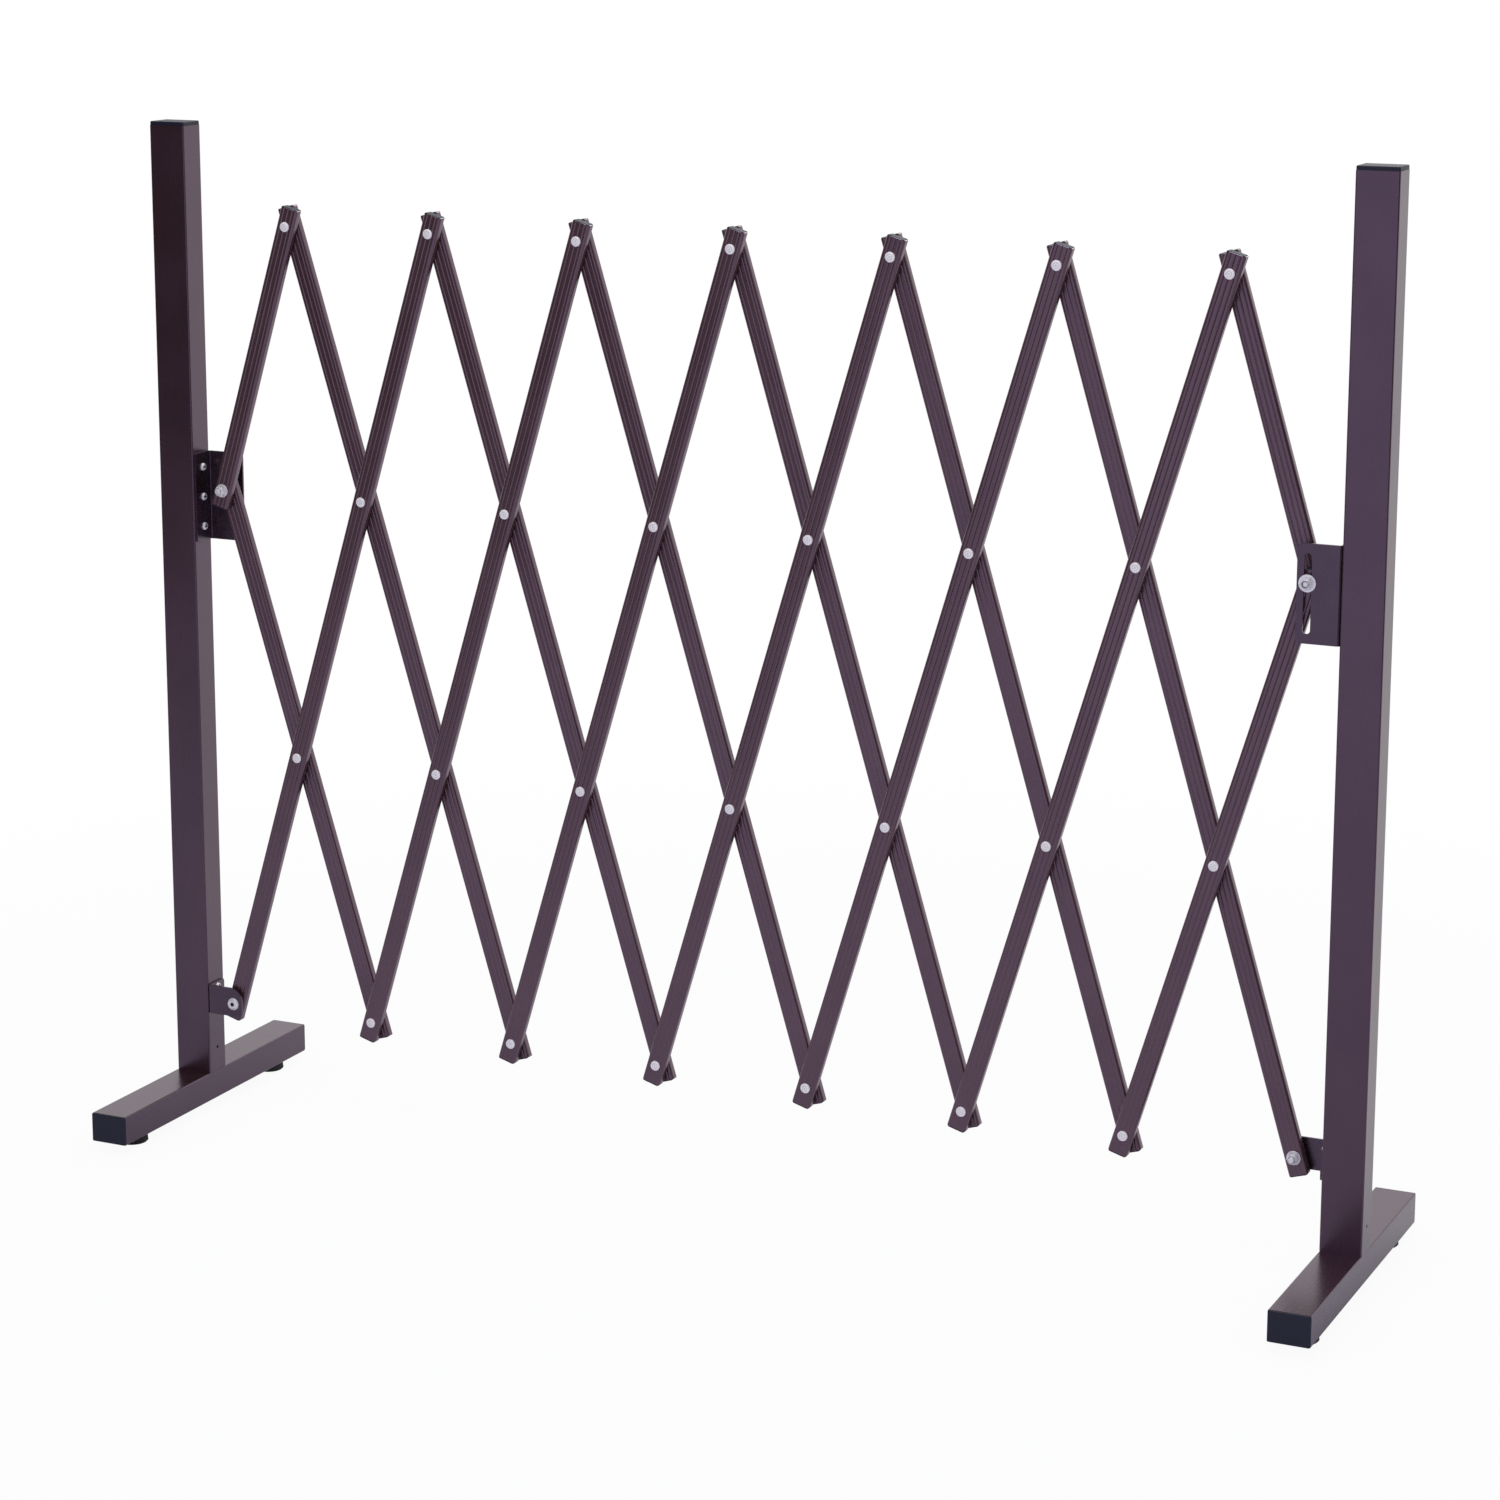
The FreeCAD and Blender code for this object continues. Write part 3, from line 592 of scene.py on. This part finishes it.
def pad_rubber():
    """Rubber of the pads under the feet."""
    # Moulded black rubber: matt and slightly dusty, with a coarse speckle.
    # The speckle is near 0.5 mm and is drawn at 1.5 mm to show.
    speckle = 1.5
    material, tree = blank_material("moulded_rubber")
    place = add(tree, "ShaderNodeTexCoord")
    at = [("Vector", place, "Object")]
    dust = add(tree, "ShaderNodeTexNoise", at, Scale=per_metre(speckle), Detail=4.0)
    tint = add(tree, "ShaderNodeValToRGB", [("Fac", dust, "Fac")])
    base = np.array(colours().rubber)
    dark, light = tint.color_ramp.elements
    dark.position, dark.color = 0.4, (*base, 1)
    light.position, light.color = 0.8, (*(2.2 * base), 1)
    skin = add(tree, "ShaderNodeBump", [("Height", dust, "Fac")], Strength=0.3, Distance=0.1 * MM)
    shader = add(
        tree,
        "ShaderNodeBsdfPrincipled",
        [("Base Color", tint, "Color"), ("Normal", skin, "Normal")],
        Roughness=0.78,
        IOR=1.52,
    )
    add(tree, "ShaderNodeOutputMaterial", [("Surface", shader, "BSDF")])
    return material


def bare_metal(name, shade, smooth, coarse, grain, metallic=1.0):
    """A bare or plated metal, between two roughnesses, with marks of the given spacing in
    millimetres."""
    # Aluminium: pale and satin, with small scratches. A greyer copy is painted shade in the rivets'
    # dimples and rings; the bright cut edges on the bars are partly a painted highlight.
    # Zinc plating: bluish grey, brighter in the hollows of its crystals.
    # Dark steel: painted shade inside the bolts' sockets and the screws' crosses.
    # All these patterns are drawn coarser than the real ones to show.
    material, tree = blank_material(name)
    place = add(tree, "ShaderNodeTexCoord")
    at = [("Vector", place, "Object")]
    marks = add(tree, "ShaderNodeTexNoise", at, Scale=per_metre(grain), Detail=4.0)
    tint = add(tree, "ShaderNodeValToRGB", [("Fac", marks, "Fac")])
    base = np.array(shade)
    dark, light = tint.color_ramp.elements
    dark.position, dark.color = 0.3, (*(0.86 * base), 1)
    light.position, light.color = 0.7, (*base, 1)
    rough = add(
        tree, "ShaderNodeMapRange", [("Value", marks, "Fac")], To_Min=smooth, To_Max=coarse
    )
    skin = add(
        tree, "ShaderNodeBump", [("Height", marks, "Fac")], Strength=0.15, Distance=0.03 * MM
    )
    shader = add(
        tree,
        "ShaderNodeBsdfPrincipled",
        [("Base Color", tint, "Color"), ("Roughness", rough, "Result"), ("Normal", skin, "Normal")],
        Metallic=metallic,
    )
    add(tree, "ShaderNodeOutputMaterial", [("Surface", shader, "BSDF")])
    return material


def nut_nylon():
    """Nylon ring inside a lock nut."""
    # Natural nylon: milky and waxy, a little worn by the thread.
    # The wear is finer than 1.2 mm and is drawn at that to show.
    wear_size = 1.2
    material, tree = blank_material("natural_nylon")
    place = add(tree, "ShaderNodeTexCoord")
    at = [("Vector", place, "Object")]
    worn = add(tree, "ShaderNodeTexNoise", at, Scale=per_metre(wear_size), Detail=2.0)
    tint = add(tree, "ShaderNodeValToRGB", [("Fac", worn, "Fac")])
    base = np.array(colours().nylon)
    dark, light = tint.color_ramp.elements
    dark.color, light.color = (*(0.7 * base), 1), (*base, 1)
    shader = add(
        tree,
        "ShaderNodeBsdfPrincipled",
        [("Base Color", tint, "Color")],
        Roughness=0.45,
        IOR=1.53,
    )
    add(tree, "ShaderNodeOutputMaterial", [("Surface", shader, "BSDF")])
    return material


def fastener_finishes():
    """Zinc plating, the painted shade of the recesses and nylon, each made once."""
    made = bpy.data.materials.get
    shade = colours()
    zinc = made("zinc_plated_steel") or bare_metal(
        "zinc_plated_steel", shade.zinc, smooth=0.28, coarse=0.42, grain=1.6, metallic=0.45
    )
    # Painted shade for the sockets and crosses, drawn as a dark steel.
    recess_shade = made("oiled_steel") or bare_metal(
        "oiled_steel", shade.socket, smooth=0.4, coarse=0.55, grain=1.2, metallic=0.6
    )
    return [zinc, recess_shade, made("natural_nylon") or nut_nylon()]


def wear(node, material):
    """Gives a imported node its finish."""
    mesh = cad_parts[node].data
    mesh.materials.clear()
    mesh.materials.append(material)


class BARRIER_OT_coat_bars(bpy.types.Operator):
    """Coats the sixteen fluted bars, with the die lines along each bar, and draws a bright cut
    edge at their upper ends, partly the real bare edge and partly a painted highlight, apart from
    the two rounded ends beside the slots"""

    bl_idname = "barrier.coat_bars"
    bl_label = "Coat the bars"

    def execute(self, context):
        shade = colours()
        _, column_pitch, row_pitch = lattice()
        lean = math.atan2(column_pitch, row_pitch)
        # Bright aluminium for the cut edges: partly the real bare edge, partly a painted highlight.
        bare_and_shine = bare_metal("sawn_aluminium_and_highlight", shade.rivet, smooth=0.3, coarse=0.45, grain=0.6)
        for layer, side in (("front", 1), ("rear", -1)):
            coat = extrusion_coat(
                f"satin_coated_aluminium_{layer}_bars",
                (0.0, -side * lean, 0.0),
                shade=shade.bar_coat,
                pale=shade.bar_coat_light,
                ior=1.55,
            )
            for number in range(1, BARS + 1):
                bar = f"{layer}_bar_{number}"
                wear(bar, coat)
                last_column = bar_pins(number, side)[-1][0]
                if last_column not in (0, COLUMNS):
                    # Only the upper end gets the bright edge: partly the real cut edge, partly a
                    # painted highlight.
                    line = cut_edge_and_highlight(number, side)
                    add_piece(f"{layer}_cut_ends_{number}", [line], [bare_and_shine], bar, "rivet_aluminium")
        return {"FINISHED"}


class BARRIER_OT_coat_stands(bpy.types.Operator):
    """Coats the posts, the feet and the folded brackets"""

    bl_idname = "barrier.coat_stands"
    bl_label = "Coat the stands"

    def execute(self, context):
        brown = {"shade": colours().coat, "pale": colours().coat_light, "ior": 1.5}
        upright = extrusion_coat("satin_coated_aluminium_posts", (0.0, 0.0, 0.0), **brown)
        lying = extrusion_coat("satin_coated_aluminium_feet", (math.pi / 2, 0.0, 0.0), **brown)
        folded = bracket_coat()
        for side in SIDES:
            wear(f"{side}_post", upright)
            wear(f"{side}_foot", lying)
            wear(f"{side}_upper_bracket", folded)
            wear(f"{side}_lower_bracket", folded)
        return {"FINISHED"}


class BARRIER_OT_fit_plastics(bpy.types.Operator):
    """Gives the tube caps, bar plugs and post plugs their plastic, and the pads their rubber"""

    bl_idname = "barrier.fit_plastics"
    bl_label = "Fit caps, plugs and pads"

    def execute(self, context):
        plastic, rubber = black_plastic(), pad_rubber()
        for side in SIDES:
            wear(f"{side}_tube_caps", plastic)
            wear(f"{side}_post_plug", plastic)
            wear(f"{side}_foot_pads", rubber)
        for number in range(1, BARS + 1):
            wear(f"front_plugs_{number}", plastic)
            wear(f"rear_plugs_{number}", plastic)
        return {"FINISHED"}


class BARRIER_OT_set_rivets(bpy.types.Operator):
    """Sets the twenty-six rivets, which ride on the front bars"""

    bl_idname = "barrier.set_rivets"
    bl_label = "Set the rivets"

    def execute(self, context):
        shade = colours()
        metal = bare_metal(
            "satin_aluminium_rivet", shade.rivet, smooth=0.36, coarse=0.5, grain=0.9, metallic=0.2
        )
        # A greyer copy of the rivets' aluminium, as painted shade in their dimples and rings.
        hollow_shade_finish = bare_metal(
            "painted_rivet_hollow_shade",
            shade.rivet_hollow_shade,
            smooth=0.4,
            coarse=0.55,
            grain=0.9,
            metallic=0.2,
        )
        for number in range(1, BARS + 1):
            node, bar = f"rivets_{number}", f"front_bar_{number}"
            wear(node, metal)
            pins = [place for place in bar_pins(number, 1) if place[0] not in (0, COLUMNS)]
            shells = [rivet(crossing(*place)) for place in pins]
            finishes = [metal, hollow_shade_finish]
            add_piece(f"rivet_set_{number}", shells, finishes, bar, "rivet_aluminium", node)
        return {"FINISHED"}


class BARRIER_OT_drive_screws(bpy.types.Operator):
    """Drives the bracket screws and the screws that hold the posts on the feet"""

    bl_idname = "barrier.drive_screws"
    bl_label = "Drive the screws"

    def execute(self, context):
        size = sizes()
        zinc, recess_shade, _ = fastener_finishes()
        shells = []
        for node, count, spacing, tab in (
            ("left_upper_bracket", 3, size.upper_screw_spacing, 1),
            ("left_lower_bracket", 2, size.lower_screw_spacing, -1),
        ):
            low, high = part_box(node)
            y = (low.y + high.y - tab * size.sheet) / 2
            for step in range(count):
                z = (low.z + high.z) / 2 + (step - (count - 1) / 2) * spacing
                shells.append(screw((low.x + size.sheet, y, z), (-1, 0, 0), (0, 1, 0)))
        low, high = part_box("left_foot")
        for side in (-1, 1):
            x = (low.x + high.x + side * size.foot_screw_spacing) / 2
            place = (x, 0.0, high.z - size.tube_wall)
            shells.append(bolt(place, (0, 0, 1), (1, 0, 0), size.foot_screw_length))
        for side in SIDES:
            node, body = f"{side}_screws", f"{side}_stand"
            wear(node, zinc)
            placed = shells if side == "left" else [half_turn(shell) for shell in shells]
            add_piece(f"{side}_screw_set", placed, [zinc, recess_shade], body, "zinc_steel", node)
        return {"FINISHED"}


class BARRIER_OT_fit_bolts(bpy.types.Operator):
    """Fits the lower pivots and the upper slides: bolts, spacers, washers and lock nuts"""

    bl_idname = "barrier.fit_bolts"
    bl_label = "Fit the bolts"

    def execute(self, context):
        self.fit_pivots()
        self.fit_slide("left", 1, "front_bar_1")
        self.fit_slide("right", -1, "front_bar_8")
        return {"FINISHED"}

    def fit_pivots(self):
        """From the front: the bolt's head on the tab, spacer, bar, washer and nut."""
        size, finishes = sizes(), fastener_finishes()
        forth, level = (0, 1, 0), (1, 0, 0)
        hole = size.bolt + 2 * size.running_fit
        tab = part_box("left_upper_bracket")[1].y
        spacer = tab - size.sheet - half_depth()
        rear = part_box("front_bar_2")[1].y
        place, end = pin("left_pivot_bolt"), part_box("left_pivot_bolt")[1].y
        shells = [
            bolt(place + (0, -tab, 0), forth, level, end + tab),
            collar(place + (0, size.sheet - tab, 0), forth, level, size.spacer, hole, spacer),
            collar(place + (0, rear, 0), forth, level, size.washer, hole, size.washer_thickness),
            *lock_nut(place + (0, rear + size.washer_thickness, 0), forth, level),
        ]
        for side in SIDES:
            node, body = f"{side}_pivot_bolt", f"{side}_stand"
            wear(node, finishes[0])
            placed = shells if side == "left" else [half_turn(shell) for shell in shells]
            add_piece(f"{side}_pivot_set", placed, finishes, body, "zinc_steel", node)

    def fit_slide(self, side, toward, body):
        """The bolt goes through two bars and the tab's slot, with its nut in front. The tab lies
        towards +Y (1) or -Y (-1) of the bars. A spacer fills the room up to the tab, a wide washer
        bridges the slot and a small one lies on the bars' far face."""
        size, finishes = sizes(), fastener_finishes()
        node, fit = f"{side}_slide_bolt", size.running_fit
        place, end = pin(node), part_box(node)[0].y
        facing, back, level = (0, toward, 0), (0, -1, 0), (1, 0, 0)
        hole = size.bolt + 2 * fit
        bars, tab = half_depth(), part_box("left_upper_bracket")[1].y
        small, wide = size.washer_thickness, size.wide_washer_thickness
        bar_face, slot_face = bars + small, tab + wide
        front, seat, recess = bar_face, slot_face, 0
        if toward < 0:
            front, seat, recess = slot_face, bar_face, size.slot_recess
        shells = [bolt(place + (0, seat, 0), back, level, seat - end - recess)]
        for y, across, thick in (
            (bars, size.spacer, tab - size.sheet - bars - fit),
            (tab + fit, size.wide_washer, wide - fit),
            (-bar_face, size.washer, small),
        ):
            start = place + (0, toward * y, 0)
            shells.append(collar(start, facing, level, across, hole, thick))
        shells += lock_nut(place + (0, -front, 0), back, level)
        wear(node, finishes[0])
        add_piece(f"{side}_slide_set", shells, finishes, body, "zinc_steel", node)


class BARRIER_OT_set_stage(bpy.types.Operator):
    """Sets the floor, the white surroundings, the soft lights and the camera"""

    bl_idname = "barrier.set_stage"
    bl_label = "Set the stage"

    def execute(self, context):
        scene = context.scene
        scene.view_settings.view_transform = "Standard"
        self.lay_floor(scene)
        self.wrap_world(scene)
        self.hang_lamps(scene)
        self.place_camera(scene)
        return {"FINISHED"}

    def lay_floor(self, scene):
        """A flat square: a grid over two lengths at one height, just under the pads."""
        half, below = 2.5, 0.2 * MM
        reach = np.linspace(-half, half, 11)
        x, y = np.meshgrid(reach, reach)
        points = np.stack([x, y, np.full_like(x, -below)], axis=-1).reshape(-1, 3)
        here = np.arange(points.shape[0]).reshape(x.shape)
        corners = [here[:-1, :-1], here[:-1, 1:], here[1:, 1:], here[1:, :-1]]
        quads = np.stack(corners, axis=-1).reshape(-1, 4)
        mesh = bpy.data.meshes.new("studio_floor")
        mesh.from_pydata(points, [], quads.tolist())
        mesh.materials.append(self.floor_paint())
        floor = bpy.data.objects.new("studio_floor", mesh)
        scene.collection.objects.link(floor)

    def floor_paint(self):
        """Paint that the camera sees as white, and gloss as white behind the barrier."""
        # Painted studio floor: matt, cool and pale. It runs into the white surroundings and keeps
        # a soft shadow. Gloss sees it pure white only behind the barrier, up to the backdrop.
        material, tree = blank_material("painted_studio_floor")
        matt = add(tree, "ShaderNodeBsdfDiffuse", Color=(*colours().floor, 1))
        glow = add(tree, "ShaderNodeEmission", Color=(1, 1, 1, 1), Strength=1.0)
        path = add(tree, "ShaderNodeLightPath")
        place = add(tree, "ShaderNodeTexCoord")
        away = add(tree, "ShaderNodeVectorMath", [(0, place, "Object")], operation="LENGTH")
        fade = add(
            tree,
            "ShaderNodeMapRange",
            [("Value", away, "Value")],
            interpolation_type="SMOOTHSTEP",
            From_Min=0.6,
            From_Max=2.2,
            To_Min=0.94,
            To_Max=1.0,
        )
        corner = add(tree, "ShaderNodeSeparateXYZ", [("Vector", place, "Object")])
        rear = add(
            tree,
            "ShaderNodeMapRange",
            [("Value", corner, "Y")],
            interpolation_type="SMOOTHSTEP",
            From_Min=-0.2,
            From_Max=0.6,
        )
        gloss = add(
            tree,
            "ShaderNodeMath",
            [(0, path, "Is Glossy Ray"), (1, path, "Is Transmission Ray")],
            operation="MAXIMUM",
        )
        seen = add(
            tree,
            "ShaderNodeMath",
            [(0, path, "Is Camera Ray"), (1, fade, "Result")],
            operation="MULTIPLY",
        )
        mirrored = add(
            tree,
            "ShaderNodeMath",
            [(0, gloss, "Value"), (1, rear, "Result")],
            operation="MULTIPLY",
        )
        share = add(
            tree,
            "ShaderNodeMath",
            [(0, seen, "Value"), (1, mirrored, "Value")],
            operation="MAXIMUM",
        )
        mix = add(
            tree,
            "ShaderNodeMixShader",
            [(0, share, "Value"), (1, matt, "BSDF"), (2, glow, "Emission")],
        )
        add(tree, "ShaderNodeOutputMaterial", [("Surface", mix, "Shader")])
        return material

    def wrap_world(self, scene):
        """White surroundings, seen by the camera and by gloss. Gloss sees them darker towards the
        front of the studio."""
        world = bpy.data.worlds.new("white_studio")
        scene.world = world
        world.use_nodes = True
        tree = world.node_tree
        tree.nodes.clear()
        path = add(tree, "ShaderNodeLightPath")
        place = add(tree, "ShaderNodeTexCoord")
        corner = add(tree, "ShaderNodeSeparateXYZ", [("Vector", place, "Generated")])
        shade = add(
            tree,
            "ShaderNodeMapRange",
            [("Value", corner, "Y")],
            interpolation_type="SMOOTHSTEP",
            From_Min=-0.45,
            From_Max=0.25,
            To_Min=0.05,
            To_Max=1.0,
        )
        white = (1, 1, 1, 1)
        soft = add(tree, "ShaderNodeBackground", Color=white, Strength=0.55)
        mirrored = add(
            tree, "ShaderNodeBackground", [("Strength", shade, "Result")], Color=white
        )
        seen = add(tree, "ShaderNodeBackground", Color=white, Strength=1.0)
        gloss = add(
            tree,
            "ShaderNodeMath",
            [(0, path, "Is Glossy Ray"), (1, path, "Is Transmission Ray")],
            operation="MAXIMUM",
        )
        lit = add(
            tree,
            "ShaderNodeMixShader",
            [(0, gloss, "Value"), (1, soft, "Background"), (2, mirrored, "Background")],
        )
        both = add(
            tree,
            "ShaderNodeMixShader",
            [(0, path, "Is Camera Ray"), (1, lit, "Shader"), (2, seen, "Background")],
        )
        add(tree, "ShaderNodeOutputWorld", [("Surface", both, "Shader")])

    def hang_lamps(self, scene):
        """Square soft boxes, each aimed at the middle of the barrier."""
        middle = Vector((0.0, 0.0, 0.5))
        white, cool = (1.0, 1.0, 1.0), colours().front_light
        for name, place, width, watts, tint in (
            ("overhead_box", (0.2, -0.3, 3.2), 3.0, 40.0, white),
            ("front_box", (0.2, -2.7, 0.85), 2.4, 17.6, cool),
            ("rear_box", (-0.2, 2.4, 2.9), 1.8, 16.0, white),
        ):
            lamp = bpy.data.lights.new(name, "AREA")
            lamp.shape, lamp.size, lamp.energy, lamp.color = "SQUARE", width, watts, tint
            box = bpy.data.objects.new(name, lamp)
            box.location = place
            box.rotation_euler = (middle - Vector(place)).to_track_quat("-Z", "Y").to_euler()
            scene.collection.objects.link(box)

    def place_camera(self, scene):
        """The photograph's viewpoint: above and to the right, looking a little down."""
        place = (1.50478, -3.19298, 1.29311)
        yaw, pitch, roll = (math.radians(turn) for turn in (24.99, 11.66, 0.09))
        lens = bpy.data.cameras.new("photo_camera")
        lens.sensor_width, lens.lens, lens.shift_y = 36.0, 90.37, -0.08
        lens.clip_start, lens.clip_end = 0.05, 60.0
        camera = bpy.data.objects.new("photo_camera", lens)
        aim = Matrix.Rotation(yaw, 4, "Z") @ Matrix.Rotation(math.pi / 2 - pitch, 4, "X")
        camera.matrix_world = Matrix.Translation(place) @ aim @ Matrix.Rotation(roll, 4, "Z")
        scene.collection.objects.link(camera)
        scene.camera = camera


STEPS = (
    BARRIER_OT_coat_bars,
    BARRIER_OT_coat_stands,
    BARRIER_OT_fit_plastics,
    BARRIER_OT_set_rivets,
    BARRIER_OT_drive_screws,
    BARRIER_OT_fit_bolts,
    BARRIER_OT_set_stage,
)


class BARRIER_PT_panel(bpy.types.Panel):
    """Lists the steps that dress the barrier, with their sizes and colours"""

    bl_idname = "BARRIER_PT_panel"
    bl_label = "Barrier"
    bl_space_type = "VIEW_3D"
    bl_region_type = "UI"
    bl_category = "Barrier"

    def draw(self, context):
        for step in STEPS:
            self.layout.operator(step.bl_idname)
        for group in (context.scene.barrier_sizes, context.scene.barrier_colours):
            box = self.layout.box()
            for name in group.bl_rna.properties.keys():
                if name not in ("rna_type", "name"):
                    box.prop(group, name)


CLASSES = (BarrierSizes, BarrierColours, *STEPS, BARRIER_PT_panel)


def register():
    """Registers the classes and gives the scene its sizes and colours."""
    for kind in CLASSES:
        bpy.utils.register_class(kind)
    bpy.types.Scene.barrier_sizes = bpy.props.PointerProperty(type=BarrierSizes)
    bpy.types.Scene.barrier_colours = bpy.props.PointerProperty(type=BarrierColours)


def unregister():
    """Takes back what register gave."""
    del bpy.types.Scene.barrier_colours
    del bpy.types.Scene.barrier_sizes
    for kind in reversed(CLASSES):
        bpy.utils.unregister_class(kind)


def main():
    """Registers the classes and takes the steps in order."""
    register()
    bpy.ops.barrier.coat_bars()
    bpy.ops.barrier.coat_stands()
    bpy.ops.barrier.fit_plastics()
    bpy.ops.barrier.set_rivets()
    bpy.ops.barrier.drive_screws()
    bpy.ops.barrier.fit_bolts()
    bpy.ops.barrier.set_stage()


if __name__ == "__main__":
    main()
